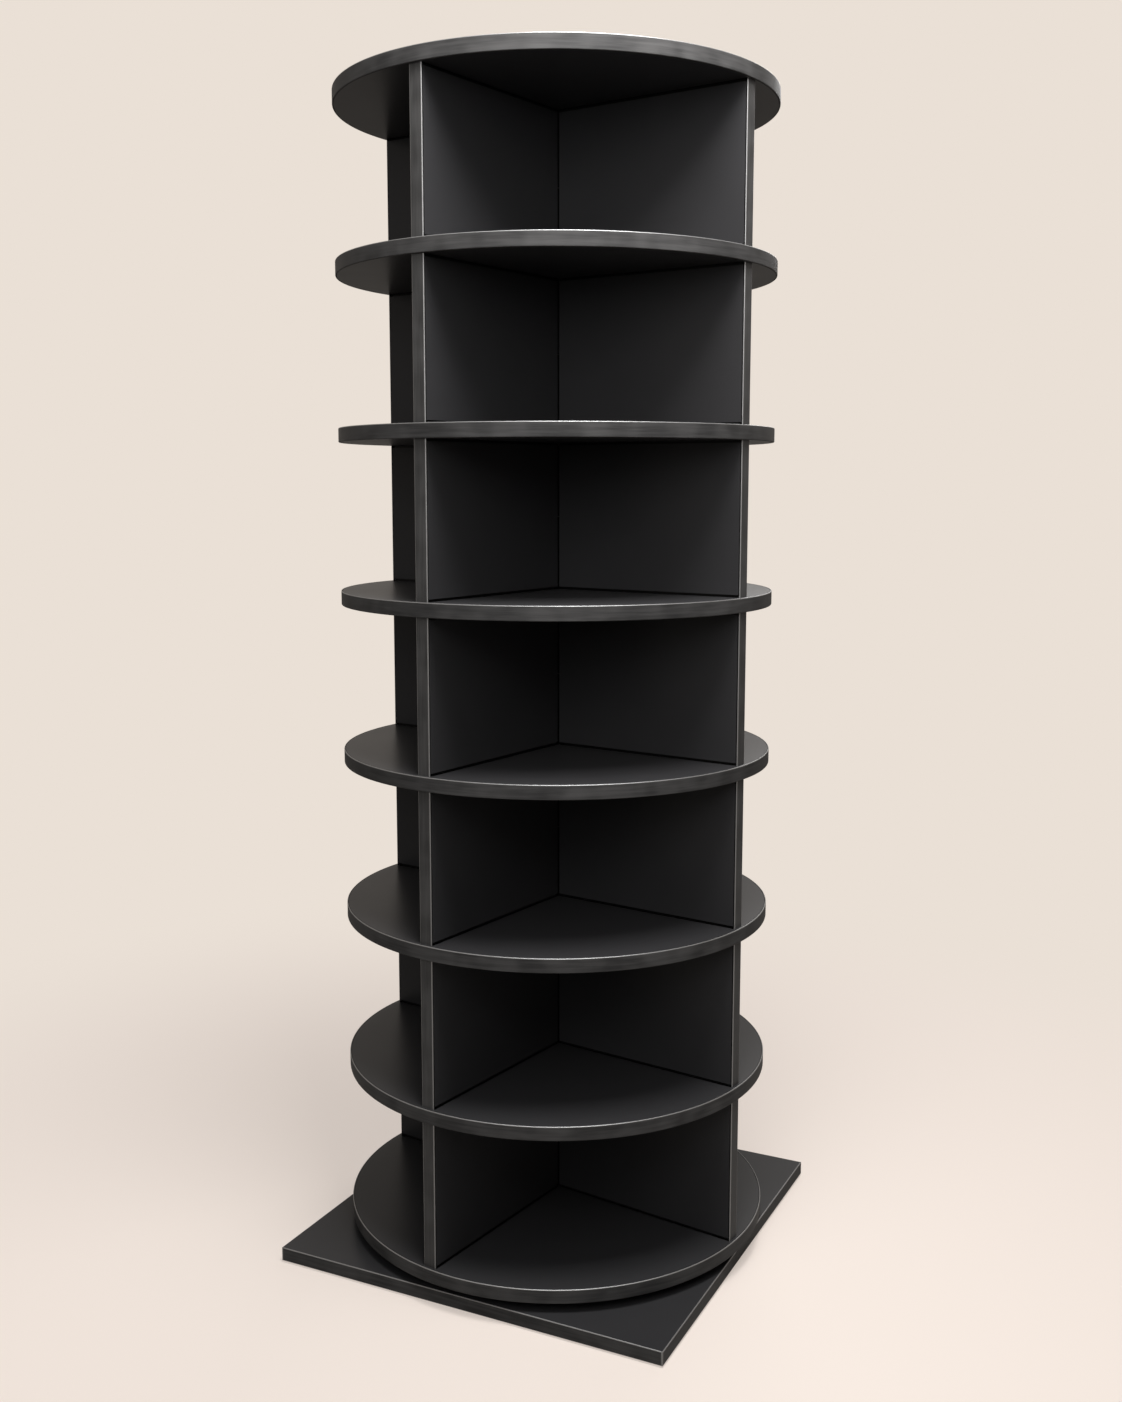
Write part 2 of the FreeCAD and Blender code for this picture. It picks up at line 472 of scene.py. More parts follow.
BEARING_STEEL = Finish(
    "ball_steel",
    dark=(0.60, 0.60, 0.61),
    light=(0.68, 0.68, 0.69),
    roughness=0.07,
    gloss_range=0.10,
    cell=0.0015,
    depth=0.000001,
    metallic=1.0,
)
NYLON = Finish(
    "cage_plastic",
    dark=(0.66, 0.65, 0.60),
    light=(0.74, 0.73, 0.68),
    roughness=0.42,
    gloss_range=0.10,
    cell=0.004,
)
BEECH = Wooden(
    "beech_dowel",
    dark=(0.42, 0.25, 0.13),
    light=(0.66, 0.46, 0.28),
    roughness=0.50,
    gloss_range=0.12,
    cell=0.0014,
    depth=0.00004,
)


# ------------------------------------------------------------------ shaping


def rounded(shape: BMesh, edges: Iterable[BMEdge], radius: float, segments: int = 1) -> list[BMFace]:
    """Rounds some edges of a shape.

    Args:
        shape: The shape.
        edges: The edges to round.
        radius: The size of the rounding.
        segments: The number of faces across the rounding.

    Returns:
        The rounding's faces.
    """
    made = bmesh.ops.bevel(
        shape, geom=list(edges), offset=radius, segments=segments, profile=0.5, affect="EDGES", material=-1
    )
    return made["faces"]


def edges_where(shape: BMesh, test: Callable[[Vector, Vector], bool]) -> list[BMEdge]:
    """Edges whose two ends pass a test."""
    return [edge for edge in shape.edges if test(edge.verts[0].co, edge.verts[1].co)]


def is_level(a: Vector, b: Vector) -> bool:
    """True for two points at the same level."""
    return abs(a.z - b.z) < TINY


def mark_arrises(shape: BMesh) -> None:
    """Notes in an attribute which faces are as narrow as an arris's and don't look down, for a paler
    colour that is partly a painted highlight.

    Args:
        shape: The shape.
    """
    shape.normal_update()
    mark = shape.faces.layers.float.new(ARRIS_HIGHLIGHT_MARK)
    for face in shape.faces:
        narrow = min(edge.calc_length() for edge in face.edges) < ARRIS_FACE
        face[mark] = float(narrow and face.normal.z > FACING_DOWN)


def mark_cuts(shape: BMesh, value: float) -> None:
    """Notes in an attribute whether a shape's faces are a cut's, unless that is noted already.

    Args:
        shape: The shape.
        value: 1 for a cut's faces and 0 for others.
    """
    if CUT_MARK not in shape.faces.layers.float:
        mark = shape.faces.layers.float.new(CUT_MARK)
        for face in shape.faces:
            face[mark] = value


def block(size: Sequence[float], centre: Sequence[float]) -> BMesh:
    """Makes a block with its sides along the axes.

    Args:
        size: The lengths of its sides.
        centre: The place of its middle.

    Returns:
        The shape.
    """
    shape = bmesh.new()
    bmesh.ops.create_cube(shape, size=1.0)
    bmesh.ops.scale(shape, vec=size, verts=shape.verts)
    bmesh.ops.translate(shape, vec=centre, verts=shape.verts)
    return shape


def disc(radius: float, low: float, high: float, sides: int) -> BMesh:
    """Makes an upright round bar or disc on the axis.

    Args:
        radius: The radius.
        low: The level of the underside.
        high: The level of the top.
        sides: The number of faces round it.

    Returns:
        The shape.
    """
    shape = bmesh.new()
    bmesh.ops.create_circle(shape, cap_ends=True, radius=radius, segments=sides)
    bmesh.ops.translate(shape, vec=(0, 0, low), verts=shape.verts)
    raise_by(shape, high - low)
    return shape


def raise_by(shape: BMesh, height: float) -> None:
    """Draws a flat shape up into a solid.

    Args:
        shape: The shape.
        height: The height of the solid.
    """
    drawn = bmesh.ops.extrude_face_region(shape, geom=shape.faces[:], use_keep_orig=True)["geom"]
    far_end = [item for item in drawn if isinstance(item, BMVert)]
    bmesh.ops.translate(shape, vec=(0, 0, height), verts=far_end)
    bmesh.ops.recalc_face_normals(shape, faces=shape.faces)


def spun(section: Sequence[Sequence[float]], rounds: dict[int, float], sides: int) -> BMesh:
    """Makes a shape that is turned about the axis.

    Args:
        section: The corners of its closed section, as (radius, height).
        rounds: The rounding of each corner that has one, by its number.
        sides: The number of faces round it.

    Returns:
        The shape.
    """
    shape = bmesh.new()
    corners = [shape.verts.new((radius, 0, height)) for radius, height in section]
    shape.faces.new(corners)
    for number, radius in rounds.items():
        bmesh.ops.bevel(
            shape,
            geom=[corners[number]],
            offset=radius,
            segments=CORNER_STEPS,
            profile=0.5,
            affect="VERTICES",
            material=-1,
        )
    bmesh.ops.delete(shape, geom=shape.faces[:], context="FACES_ONLY")
    bmesh.ops.spin(
        shape,
        geom=shape.verts[:] + shape.edges[:],
        axis=(0, 0, 1),
        angle=math.tau,
        steps=sides,
        use_merge=True,
    )
    bmesh.ops.remove_doubles(shape, verts=shape.verts, dist=MERGE)
    bmesh.ops.recalc_face_normals(shape, faces=shape.faces)
    return shape


def repeated(shape: BMesh, places: Iterable[Matrix]) -> BMesh:
    """Copies a shape to several places.

    Args:
        shape: The shape.
        places: The places.

    Returns:
        The copies, as one shape.
    """
    whole = bmesh.new()
    copy = bpy.data.meshes.new("copy")
    for place in places:
        shape.to_mesh(copy)
        copy.transform(place)
        whole.from_mesh(copy)
    bpy.data.meshes.remove(copy)
    return whole


def together(*shapes: BMesh) -> BMesh:
    """Joins several shapes.

    Args:
        shapes: The shapes.

    Returns:
        The shapes as one.
    """
    whole = bmesh.new()
    for shape in shapes:
        copy = bpy.data.meshes.new("copy")
        shape.to_mesh(copy)
        whole.from_mesh(copy)
        bpy.data.meshes.remove(copy)
    return whole


def turns(count: int, start: float = 0.0) -> list[Matrix]:
    """Places spaced evenly round the axis."""
    return [Matrix.Rotation(start + math.tau * step / count, 4, "Z") for step in range(count)]


def moved(x: float, y: float, z: float) -> Matrix:
    """Place shifted along the axes."""
    return Matrix.Translation((x, y, z))


def carved(shape: BMesh, *tools: BMesh) -> BMesh:
    """Cuts the space of some tools out of a shape, one tool after the other.

    Args:
        shape: The closed shape.
        tools: The closed shapes to cut out.

    Returns:
        The cut shape, with the cuts' faces marked.
    """
    mark_cuts(shape, 0.0)
    for tool in tools:
        mark_cuts(tool, 1.0)
        loose = []
        for solid in (shape, tool):
            mesh = bpy.data.meshes.new("loose")
            solid.to_mesh(mesh)
            loose.append(bpy.data.objects.new("loose", mesh))
            bpy.context.scene.collection.objects.link(loose[-1])
        cut = loose[0].modifiers.new("cut", "BOOLEAN")
        cut.object = loose[1]
        cut.solver = "EXACT"
        shape = bmesh.new()
        shape.from_object(loose[0], bpy.context.evaluated_depsgraph_get())
        for item in loose:
            mesh = item.data
            bpy.data.objects.remove(item)
            bpy.data.meshes.remove(mesh)
    return shape


# ------------------------------------------------------------------ sub-assemblies


@dataclass
class SubAssembly(ABC):
    """Pieces that are built together and ride on one body."""

    body: Body = field(init=False)
    pieces: list[tuple[bpy.types.Object, Finish]] = field(init=False, default_factory=list)

    @abstractmethod
    def build(self) -> None:
        """Makes the pieces' meshes."""

    def dress(self) -> None:
        """Puts each piece's finish on."""
        for piece, finish in self.pieces:
            finish.put_on(piece)

    def keep(self, name: str, shape: BMesh, finish: Finish, *nodes: str) -> None:
        """Turns a shape into a piece that stands for CAD nodes.

        Args:
            name: The piece's name.
            shape: The shape, which is used up.
            finish: The finish that it will wear.
            nodes: The CAD nodes that it stands for.
        """
        mark_arrises(shape)
        for face in shape.faces:
            face.smooth = True
        for edge in shape.edges:
            edge.smooth = len(edge.link_faces) == 2 and edge.calc_face_angle() < SHARP_ANGLE
        mesh = bpy.data.meshes.new(name)
        shape.to_mesh(mesh)
        shape.free()
        piece = bpy.data.objects.new(name, mesh)
        bpy.context.scene.collection.objects.link(piece)
        weighted = piece.modifiers.new("even_faces", "WEIGHTED_NORMAL")
        weighted.keep_sharp = True
        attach(piece, self.body.value)
        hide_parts(*nodes)
        self.pieces.append((piece, finish))
        log.info("%s: %d faces, stands for %s", name, len(mesh.polygons), ", ".join(nodes))


@dataclass
class BaseBoard(SubAssembly):
    """Square board on four pads, with a plastic strip on each edge."""

    side: float = 0.480  # over the edge bands
    access_radius: float = 0.010
    access_sides: int = 48
    pad_side: float = 0.025
    pad_inset: float = 0.018
    pad_corner: float = 0.003  # rounding of a pad's upright edges
    pad_edge: float = 0.0003  # rounding of its level ones
    body = Body.BASE

    def build(self) -> None:
        """Makes the board, its strips and its pads."""
        turn = turns(1, BASE_TURN)
        middle = (BASE_BOTTOM + BASE_TOP) / 2
        core = self.side - 2 * EDGE_BAND - 2 * SLACK
        board = block((core, core, BOARD), (0, 0, middle))
        rounded(board, board.edges[:], HAIRLINE)
        self.keep("base_panel", carved(repeated(board, turn), self.holes()), MELAMINE, "base_board")
        self.keep("base_strips", repeated(self.strips(middle), turn), RIM_BAND, "base_edge_bands")
        self.keep("base_pads", repeated(self.pads(), turn), RUBBER, "foot_pads")

    def holes(self) -> BMesh:
        """Makes the holes for the outer ring's screws, and the one that reaches the inner ring's.

        Returns:
            The holes.
        """
        hole = disc(self.access_radius, BASE_BOTTOM - BOARD, BASE_TOP + BOARD, self.access_sides)
        seat = moved(BALL_CIRCLE - SCREW_OFFSET, 0, 0)
        access = repeated(hole, [turn @ seat for turn in turns(1, SCREW_TURN + BASE_TURN)])
        return together(access, TurntableRing.screw_holes(Side.OUTER))

    def strips(self, middle: float) -> BMesh:
        """Makes four strips, two of which run past the other two at the corners.

        Args:
            middle: The level of their middle.

        Returns:
            The strips.
        """
        parts = []
        offset = (self.side - EDGE_BAND) / 2
        for length, start in ((self.side, 0.0), (self.side - 2 * EDGE_BAND, QUARTER)):
            strip = block((EDGE_BAND, length, BOARD), (offset, 0, middle))
            rounded(strip, edges_where(strip, lambda a, b: min(a.x, b.x) > offset), ARRIS, ARRIS_STEPS)
            parts.append(repeated(strip, turns(2, start)))
        return together(*parts)

    def pads(self) -> BMesh:
        """Makes four pads with rounded corners.

        Returns:
            The pads.
        """
        offset = self.side / 2 - self.pad_inset - self.pad_side / 2
        pad = block((self.pad_side, self.pad_side, BASE_BOTTOM), (offset, offset, BASE_BOTTOM / 2))
        rounded(pad, edges_where(pad, lambda a, b: not is_level(a, b)), self.pad_corner, segments=5)
        rounded(pad, edges_where(pad, is_level), self.pad_edge, segments=2)
        return repeated(pad, turns(4))


@dataclass
class TurntableRing(SubAssembly):
    """Metal ring with a V-shaped race, outside or inside the balls, and its screws."""

    side: Side
    width: float = 0.016
    lip: float = 0.0013  # from the balls' circle to the ring
    race_clearance: float = 0.00005
    corner: float = 0.0005
    ring_sides: int = 192
    screw_length: float = 0.020
    screw_head: float = 0.004  # radius
    screw_shank: float = 0.002  # radius
    screw_sides: int = 24
    hole_room: float = 0.001  # of a screw's hole past both of its ends
    thread_start: float = 0.0045  # from the head's top
    thread_end: float = 0.0035  # from the point
    thread_pitch: float = 0.0011
    thread_flank: float = 0.0004  # height of a thread's flank
    thread_root: float = 0.72  # radius at the thread's root over the shank's
    recess_depth: float = 0.0022
    recess_arm: float = 0.0024
    recess_width: float = 0.0011
    recess_taper: tuple[float, float, float] = (0.45, 0.6, 1.0)  # the recess's bottom over its top

    def __post_init__(self) -> None:
        """Picks the body by the side."""
        self.body = Body.BASE if self.side is Side.OUTER else Body.TOWER

    def build(self) -> None:
        """Makes the ring and its screws."""
        name = self.side.name.lower()
        ring_node, screw_node = f"turntable_{name}_ring", f"{name}_ring_screws"
        low, high = level(ring_node, 0), level(ring_node, 1)
        apex = (BALL_RADIUS + self.race_clearance) * math.sqrt(2)
        near = BALL_CIRCLE + self.side.value * self.lip
        far = BALL_CIRCLE + self.side.value * (self.lip + self.width)
        section = [
            (near, low),
            (far, low),
            (far, high),
            (near, high),
            (near, BALL_LEVEL + apex - self.lip),
            (BALL_CIRCLE + self.side.value * apex, BALL_LEVEL),
            (near, BALL_LEVEL - apex + self.lip),
        ]
        rounds = {0: self.corner / 2, 1: self.corner, 2: self.corner, 3: self.corner / 2}
        ring = carved(spun(section, rounds, self.ring_sides), self.screw_holes(self.side))
        self.keep(f"{name}_ring", ring, ALUMINIUM, ring_node)
        self.keep(f"{name}_screws", self.screws(), ZINC, screw_node)

    @staticmethod
    def screw_places(side: Side) -> list[Matrix]:
        """Finds the places of a ring's screws.

        Args:
            side: The ring's side.

        Returns:
            The places, with the screws' heads at level 0 of each.
        """
        if side is Side.OUTER:
            seat = moved(BALL_CIRCLE + SCREW_OFFSET, 0, TOWER_BOTTOM - RING_LIFT)
            return [turn @ seat for turn in turns(RING_SCREWS, SCREW_TURN + BASE_TURN)]
        seat = moved(BALL_CIRCLE - SCREW_OFFSET, 0, BASE_TOP + RING_LIFT)
        return [turn @ seat @ Matrix.Rotation(math.pi, 4, "X") for turn in turns(RING_SCREWS, SCREW_TURN)]

    @classmethod
    def screw_holes(cls, side: Side) -> BMesh:
        """Makes the holes for a ring's screws, in the ring and in the board that it is screwed to.

        Args:
            side: The ring's side.

        Returns:
            The holes.
        """
        head, shank = cls.screw_head + SLACK, cls.screw_shank + SLACK
        top, bottom = cls.hole_room, -(cls.screw_length + cls.hole_room)
        section = [(0, top), (head, top), (head, 0), (shank, shank - head), (shank, bottom), (0, bottom)]
        return repeated(spun(section, {}, cls.screw_sides), cls.screw_places(side))

    def screws(self) -> BMesh:
        """Makes countersunk screws with a cross recess and a thread.

        Returns:
            The screws.
        """
        head, shank = self.screw_head, self.screw_shank
        root = shank * self.thread_root
        crest = -self.thread_start
        section = [(0, 0), (head, 0), (shank, shank - head), (shank, crest)]
        while crest > self.thread_end - self.screw_length:
            low = crest - self.thread_pitch
            section += [(root, crest - self.thread_flank), (root, low + self.thread_flank), (shank, low)]
            crest = low
        section.append((0, -self.screw_length))
        screw = spun(section, {}, self.screw_sides)
        bar = block((2 * self.recess_arm, self.recess_width, 2 * self.recess_depth), (0, 0, 0))
        low_end = [vert for vert in bar.verts if vert.co.z < 0]
        bmesh.ops.scale(bar, vec=self.recess_taper, verts=low_end)
        screw = carved(screw, bar, repeated(bar, turns(1, QUARTER)))
        return repeated(screw, self.screw_places(self.side))


@dataclass
class BallRow(SubAssembly):
    """Balls between the two rings, in a thin hoop with a pocket for each."""

    wall: float = 0.0012
    height: float = 0.009
    pocket: float = 0.0062
    hoop_corner: float = 0.0002
    hoop_sides: int = 180
    ball_sides: int = 28
    ball_rows: int = 18
    body = Body.CAGE

    def build(self) -> None:
        """Makes the hoop and the balls."""
        near, far = BALL_CIRCLE - self.wall / 2, BALL_CIRCLE + self.wall / 2
        low, high = BALL_LEVEL - self.height / 2, BALL_LEVEL + self.height / 2
        rounds = dict.fromkeys(range(4), self.hoop_corner)
        hoop = spun([(near, low), (far, low), (far, high), (near, high)], rounds, self.hoop_sides)
        opening = block((3 * self.wall, self.pocket, self.pocket), (BALL_CIRCLE, 0, BALL_LEVEL))
        hoop = carved(hoop, repeated(opening, turns(BALL_COUNT)))
        self.keep("ball_hoop", hoop, NYLON, "ball_cage")
        ball = bmesh.new()
        bmesh.ops.create_uvsphere(
            ball, u_segments=self.ball_sides, v_segments=self.ball_rows, radius=BALL_RADIUS
        )
        seat = moved(BALL_CIRCLE, 0, BALL_LEVEL)
        balls = repeated(ball, [turn @ seat for turn in turns(BALL_COUNT)])
        self.keep("steel_balls", balls, BEARING_STEEL, "bearing_balls")


@dataclass
class Dowels(SubAssembly):
    """Fluted dowels that hold the dividers on the shelves."""

    radius: float = 0.004
    reach: float = 0.179  # from the axis
    in_divider: float = 0.020
    in_shelf: float = 0.010  # in the lowest and the top shelf, which aren't drilled through
    flutes: int = 14
    flute_depth: float = 0.00025
    chamfer: float = 0.0006
    hole_room: float = 0.001  # of a dowel's hole past both of its ends
    hole_sides: int = 32
    body = Body.TOWER

    def span(self, number: int) -> tuple[float, float]:
        """Finds how far the dowels at a shelf run.

        Args:
            number: The shelf's number.

        Returns:
            Their lowest and highest level.
        """
        bottom = level(f"shelf_{number}", 0)
        low = bottom + BOARD - self.in_shelf if number == 1 else bottom - self.in_divider
        high = bottom + self.in_shelf if number == TIERS + 1 else bottom + BOARD + self.in_divider
        return low, high

    def places(self) -> list[Matrix]:
        """Places of the four dowels at a shelf."""
        return [turn @ moved(self.reach, 0, 0) for turn in turns(4)]

    def holes(self, number: int) -> BMesh:
        """Makes the round holes for the dowels at a shelf.

        Args:
            number: The shelf's number.

        Returns:
            The holes.
        """
        low, high = self.span(number)
        hole = disc(self.radius + SLACK, low - self.hole_room, high + self.hole_room, self.hole_sides)
        return repeated(hole, self.places())

    def fluted(self, low: float, high: float) -> BMesh:
        """Makes one dowel on the axis.

        Args:
            low: The level of its lower end.
            high: The level of its upper end.

        Returns:
            The dowel.
        """
        dowel = bmesh.new()
        bmesh.ops.create_circle(dowel, cap_ends=True, radius=self.radius, segments=2 * self.flutes)
        grooves = list(dowel.verts)[::2]
        inward = 1 - self.flute_depth / self.radius
        bmesh.ops.scale(dowel, vec=(inward, inward, 1), verts=grooves)
        bmesh.ops.translate(dowel, vec=(0, 0, low), verts=dowel.verts)
        raise_by(dowel, high - low)
        rounded(dowel, edges_where(dowel, is_level), self.chamfer)
        return dowel

    def build(self) -> None:
        """Makes the dowels of every shelf."""
        rows = [repeated(self.fluted(*self.span(number)), self.places()) for number in range(1, TIERS + 2)]
        self.keep("fluted_dowels", together(*rows), BEECH, "shelf_dowels")


@dataclass
class RoundShelf(SubAssembly):
    """Round board with a plastic strip bent round its rim."""

    number: int
    dowels: Dowels
    sides: int = 256
    groove_width: float = 0.0033
    groove_depth: float = 0.0010
    groove_offset: float = 0.0008  # from a divider's face to the groove's outer side
    joint_shade_line: float = 0.0007  # easing at the joint between the board and its strip, painted dark as shade
    body = Body.TOWER

    def build(self) -> None:
        """Makes the board and its strip."""
        node = f"shelf_{self.number}"
        low, high = level(node, 0), level(node, 1)
        seam = RIM - EDGE_BAND
        panel = disc(seam - SLACK, low, high, self.sides)
        mark_cuts(panel, 0.0)
        slopes = rounded(panel, edges_where(panel, is_level), self.joint_shade_line)
        # the easing takes the near-black painted shade of a cut
        mark = panel.faces.layers.float[CUT_MARK]
        for face in slopes:
            face[mark] = 1.0
        holes = self.dowels.holes(self.number)
        if self.number == 1:
            holes = together(holes, TurntableRing.screw_holes(Side.INNER))
        panel = carved(panel, holes, *self.grooves(low, high))
        self.keep(f"{node}_panel", panel, MELAMINE, node)
        section = [(seam, low), (RIM, low), (RIM, high), (seam, high)]
        self.keep(f"{node}_rim", spun(section, {1: ARRIS, 2: ARRIS}, self.sides), RIM_BAND, node)

    def grooves(self, low: float, high: float) -> list[BMesh]:
        """Makes lines that are let in under the faces of the dividers, and painted dark as shade.

        Args:
            low: The level of the shelf's underside.
            high: The level of its top.

        Returns:
            The lines along X, then those along Y.
        """
        levels = ([low] if self.number > 1 else []) + ([high] if self.number <= TIERS else [])
        size = (2 * (DIVIDER_END - EDGE_BAND), self.groove_width, 2 * self.groove_depth)
        offset = (BOARD - self.groove_width) / 2 + self.groove_offset
        lines = [block(size, (0, y, z)) for z in levels for y in (-offset, offset)]
        return lines + [repeated(line, turns(1, QUARTER)) for line in lines]


@dataclass
class CrossedDividers(SubAssembly):
    """Two upright boards of a tier, halved into each other."""

    tier: int
    dowels: Dowels
    slot_play: float = 0.0004  # on each side of a slot
    joint_height: float = 0.0027  # line of painted shade where a board meets a shelf
    joint_depth: float = 0.0030
    corner_line: float = 0.0014  # line of painted shade where the boards cross, on each of them
    joint_shade_line: float = 0.0012  # line of painted shade between a board's end and its strip
    body = Body.TOWER

    def span(self) -> tuple[float, float]:
        """Levels of the boards' lower and upper edges."""
        return level(f"shelf_{self.tier}", 1), level(f"shelf_{self.tier + 1}", 0)

    def cutters(self, slot_low: float, slot_high: float) -> list[BMesh]:
        """Makes the shapes to cut out of a board along X.

        Args:
            slot_low: The level of its slot's lower end.
            slot_high: The level of the slot's upper end.

        Returns:
            The slot and the lines of painted shade round the board's faces.
        """
        low, high = self.span()
        middle = (low + high) / 2
        tall = 2 * (high - low)
        end = DIVIDER_END - EDGE_BAND
        slot = (BOARD + 2 * self.slot_play, 2 * BOARD, slot_high - slot_low)
        joint = (3 * end, 2 * self.joint_depth, 2 * self.joint_height)
        corner = (2 * self.corner_line, 2 * self.corner_line, tall)
        shapes = [block(slot, (0, 0, (slot_low + slot_high) / 2))]
        for side in (-1, 1):
            face = side * BOARD / 2
            shapes.append(block((2 * self.joint_shade_line, 2 * BOARD, tall), (side * end, 0, middle)))
            shapes += [block(joint, (0, face, z)) for z in (low, high)]
            shapes += [block(corner, (x, face, middle)) for x in (-BOARD / 2, BOARD / 2)]
        return shapes

    def board(self, slot_low: float, slot_high: float) -> BMesh:
        """Makes a board along X with a slot at its middle.

        Args:
            slot_low: The level of the slot's lower end.
            slot_high: The level of its upper end.

        Returns:
            The board.
        """
        low, high = self.span()
        length = 2 * (DIVIDER_END - EDGE_BAND)
        board = block((length, BOARD, high - low), (0, 0, (low + high) / 2))
        return carved(board, *self.cutters(slot_low, slot_high))

    def build(self) -> None:
        """Makes the board along X, slotted from above, and the one along Y, slotted from below."""
        low, high = self.span()
        middle = (low + high) / 2
        holes = together(self.dowels.holes(self.tier), self.dowels.holes(self.tier + 1))
        slot_up = self.board(middle - self.slot_play, high + BOARD)
        slot_down = repeated(self.board(low - BOARD, middle + self.slot_play), turns(1, QUARTER))
        for name, board in (("slot_up", slot_up), ("slot_down", slot_down)):
            node = f"divider_{self.tier}_{name}"
            self.keep(f"{node}_board", carved(board, holes), MELAMINE, node)


@dataclass
class EndStrips(SubAssembly):
    """Plastic strips on the open ends of all the dividers."""

    body = Body.TOWER

    def build(self) -> None:
        """Makes the strips of every tier as one piece."""
        tiers = []
        for tier in range(1, TIERS + 1):
            middle = level(f"shelf_{tier}", 1) + TIER_HEIGHT / 2
            strip = block((EDGE_BAND, BOARD, TIER_HEIGHT), (DIVIDER_END - EDGE_BAND / 2, 0, middle))
            rounded(strip, edges_where(strip, self.is_outer_arris), ARRIS, ARRIS_STEPS)
            tiers.append(repeated(strip, turns(4)))
        self.keep("divider_end_strips", together(*tiers), END_BAND, "divider_edge_bands")

    @staticmethod
    def is_outer_arris(a: Vector, b: Vector) -> bool:
        """True for the ends of an upright edge at a strip's outer face."""
        return not is_level(a, b) and min(a.x, b.x) > DIVIDER_END - TINY


# ------------------------------------------------------------------ studio


@dataclass
class Softbox:
    """Soft rectangular lamp that faces a point on the axis."""

    name: str
    bearing: float  # degrees round the axis, from -Y towards +X
    height: float
    distance: float  # from the axis, level
    size: float
    watts: float
    aim: float = 0.70  # level of the point that it faces

    def place(self) -> None:
        """Adds the lamp."""
        lamp = bpy.data.lights.new(self.name, "AREA")
        lamp.shape = "RECTANGLE"
        lamp.size = self.size
        lamp.size_y = self.size
        lamp.energy = self.watts
        holder = bpy.data.objects.new(self.name, lamp)
        turn = math.radians(self.bearing)
        spot = Vector((math.sin(turn) * self.distance, -math.cos(turn) * self.distance, self.height))
        holder.location = spot
        holder.rotation_euler = (Vector((0, 0, self.aim)) - spot).to_track_quat("-Z", "Y").to_euler()
        holder.visible_camera = False
        bpy.context.scene.collection.objects.link(holder)
        log.info("%s at %s", self.name, tuple(round(value, 2) for value in spot))


@dataclass
class Studio:
    """Pale floor that runs into a pale backdrop, and soft lamps."""

    lamps: Sequence[Softbox]
    backdrop: Colour = (0.823, 0.745, 0.672)
    ambient: Colour = (0.03, 0.03, 0.03)  # the backdrop, as it lights the tower
    in_gloss: float = 0.46  # share of the backdrop that shows in reflections
    floor: Colour = (0.95, 0.85, 0.77)  # the part of the floor's look that takes shadows
    shine: Colour = (1.00, 0.885, 0.81)  # the part that no shadow reaches
    evenness: float = 0.50  # share of the second part beside the tower
    bounce: Colour = (0.30, 0.28, 0.26)  # the floor, as it lights the tower from below
    floor_in_gloss: float = 0.15
    floor_radius: float = 14.0
    floor_sides: int = 96
    fade_from: float = 0.40  # where the floor starts to run into the backdrop
    fade_to: float = 1.50

    @staticmethod
    def seen(recipe: Recipe, in_gloss: float) -> Shade:
        """Tells by the kind of ray how much of the floor's or backdrop's own look shows.

        Args:
            recipe: The nodes of the floor or of the backdrop.
            in_gloss: The share that shows in reflections.

        Returns:
            1 for what the camera sees, the share for reflections and 0 for the light on surfaces.
        """
        rays = recipe.node("LightPath", {}, {})
        camera, glossy, through = (
            Shade(recipe, rays.outputs[name])
            for name in ("Is Camera Ray", "Is Glossy Ray", "Is Transmission Ray")
        )
        return recipe.maths("MAXIMUM", recipe.maths("MAXIMUM", camera, through), in_gloss * glossy)

    def lay_floor(self) -> None:
        """Makes the floor."""
        shape = bmesh.new()
        bmesh.ops.create_circle(shape, cap_ends=True, radius=self.floor_radius, segments=self.floor_sides)
        mesh = bpy.data.meshes.new("floor")
        shape.to_mesh(mesh)
        shape.free()
        floor = bpy.data.objects.new("floor", mesh)
        bpy.context.scene.collection.objects.link(floor)
        finish = bpy.data.materials.new("pale_floor")
        finish.use_nodes = True
        recipe = Recipe(finish.node_tree)
        seen = self.seen(recipe, self.floor_in_gloss)
        away = recipe.step(recipe.distance_from_axis(), self.fade_from, self.fade_to)
        share = seen * (self.evenness + (1 - self.evenness) * away)
        matt = recipe.shade("BsdfDiffuse", {}, {"Color": recipe.blend(seen, self.bounce, self.floor)})
        glow = recipe.shade("Emission", {}, {"Color": recipe.blend(away, self.shine, self.backdrop)})
        surface = recipe.shade("MixShader", {}, {0: share, 1: matt, 2: glow})
        recipe.node("OutputMaterial", {}, {"Surface": surface})
        mesh.materials.append(finish)

    def hang_backdrop(self) -> None:
        """Fills the world with the backdrop's colour, and with softer light for the surfaces."""
        world = bpy.data.worlds.new("pale_studio")
        bpy.context.scene.world = world
        world.use_nodes = True
        recipe = Recipe(world.node_tree)
        colour = recipe.blend(self.seen(recipe, self.in_gloss), self.ambient, self.backdrop)
        surface = recipe.shade("Background", {}, {"Color": colour, "Strength": 1.0})
        recipe.node("OutputWorld", {}, {"Surface": surface})

    def set_up(self) -> None:
        """Makes the floor, the backdrop and the lamps."""
        self.lay_floor()
        self.hang_backdrop()
        for lamp in self.lamps:
            lamp.place()
        bpy.context.scene.view_settings.view_transform = "Standard"


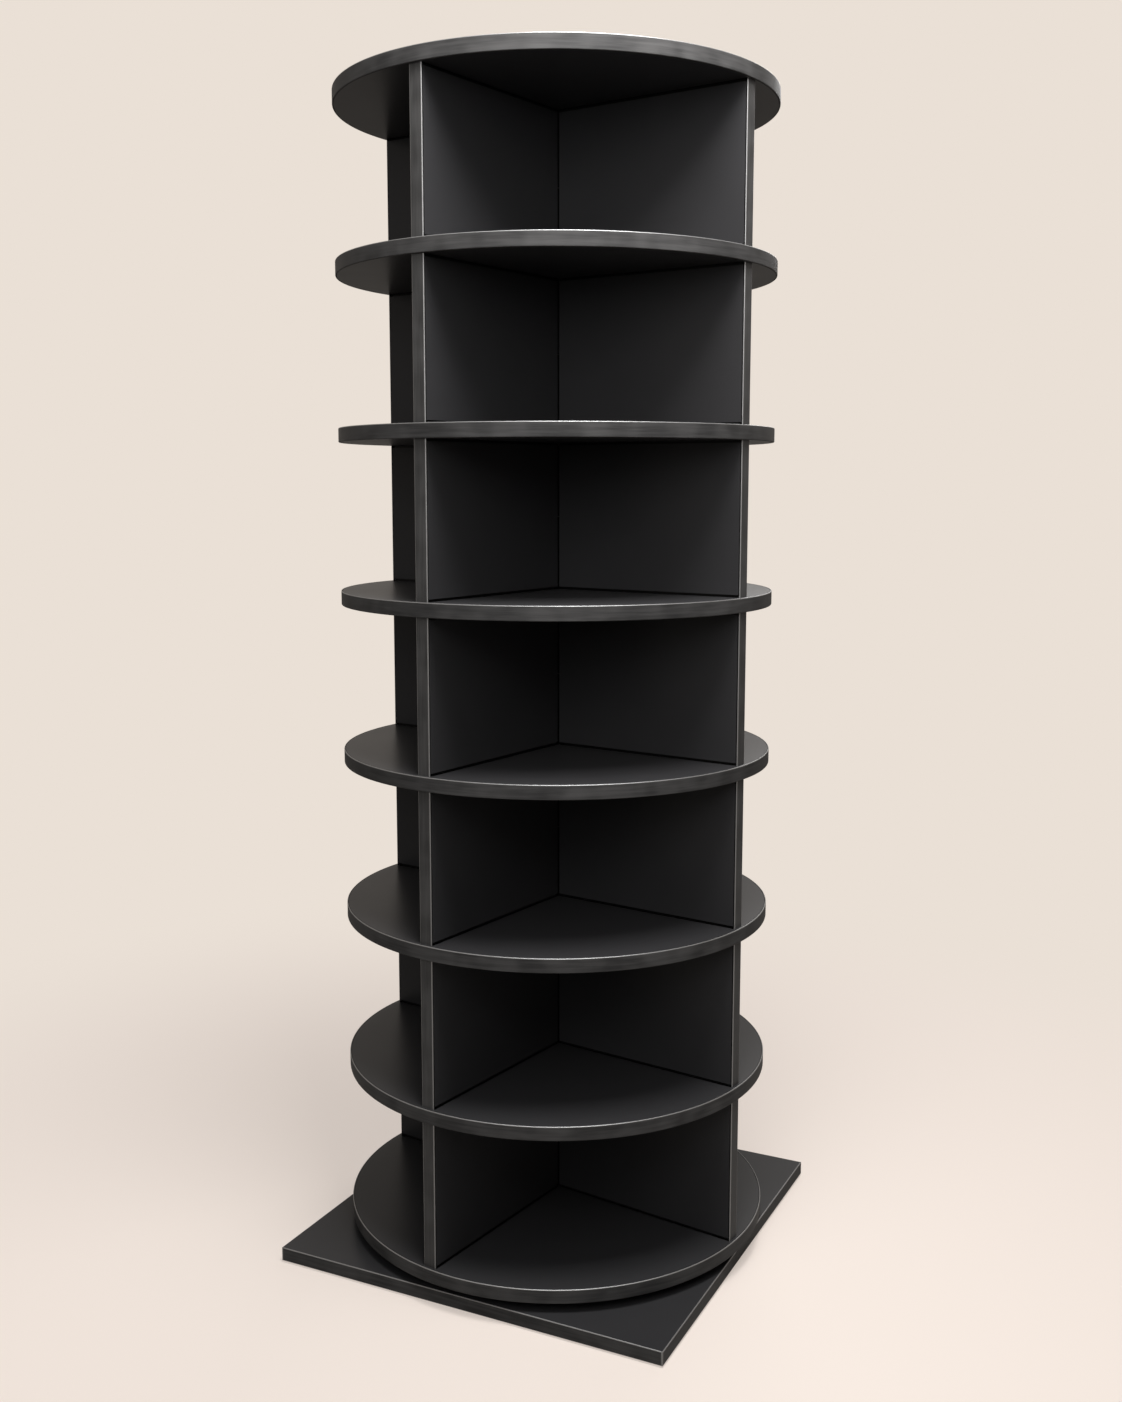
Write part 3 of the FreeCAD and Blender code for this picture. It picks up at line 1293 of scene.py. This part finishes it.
@dataclass
class Viewpoint:
    """Camera that looks slightly down on the tower."""

    distance: float = 1.746  # from the axis, level
    height: float = 0.9066
    bearing: float = 34.78  # degrees round the axis, from -Y towards +X
    swing: float = -0.17  # degrees that it turns to the left of the axis
    pitch: float = 7.61  # degrees downwards
    lens: float = 38.22  # focal length in millimetres
    sensor: float = 36.0  # width in millimetres
    shift: float = -0.0157  # upwards, over the picture's longer side
    farthest: float = 100.0  # that it still sees

    def set_up(self) -> None:
        """Makes the camera and hands the scene to it."""
        camera = bpy.data.cameras.new("viewpoint")
        camera.lens = self.lens
        camera.sensor_fit = "AUTO"
        camera.sensor_width = self.sensor
        camera.shift_y = self.shift
        camera.clip_end = self.farthest
        holder = bpy.data.objects.new("viewpoint", camera)
        turn = math.radians(self.bearing)
        heading = math.radians(self.bearing + self.swing)
        tilt = math.radians(self.pitch)
        flat = math.cos(tilt)
        holder.location = (math.sin(turn) * self.distance, -math.cos(turn) * self.distance, self.height)
        ahead = Vector((-math.sin(heading) * flat, math.cos(heading) * flat, -math.sin(tilt)))
        holder.rotation_euler = ahead.to_track_quat("-Z", "Y").to_euler()
        bpy.context.scene.collection.objects.link(holder)
        bpy.context.scene.camera = holder


LAMPS = (
    Softbox("key", bearing=52.0, height=1.90, distance=0.56, size=0.55, watts=23.0),
    Softbox("front_fill", bearing=17.0, height=1.50, distance=2.20, size=1.10, watts=9.0),
    Softbox("near_fill", bearing=45.0, height=1.60, distance=1.30, size=1.00, watts=5.6),
    Softbox("back", bearing=190.0, height=1.90, distance=1.50, size=1.10, watts=14.0),
)


def main() -> None:
    """Builds and dresses the tower from the floor up, then sets the studio."""
    logging.basicConfig(level=logging.INFO, format="%(message)s")
    dowels = Dowels()
    parts = [BaseBoard(), TurntableRing(Side.OUTER), BallRow(), TurntableRing(Side.INNER), dowels]
    parts += [RoundShelf(number, dowels) for number in range(1, TIERS + 2)]
    parts += [CrossedDividers(tier, dowels) for tier in range(1, TIERS + 1)]
    parts.append(EndStrips())
    for part in parts:
        part.build()
        part.dress()
        log.info("%s done", type(part).__name__)
    Studio(LAMPS).set_up()
    Viewpoint().set_up()


if __name__ == "__main__":
    main()
    bpy.context.view_layer.update()
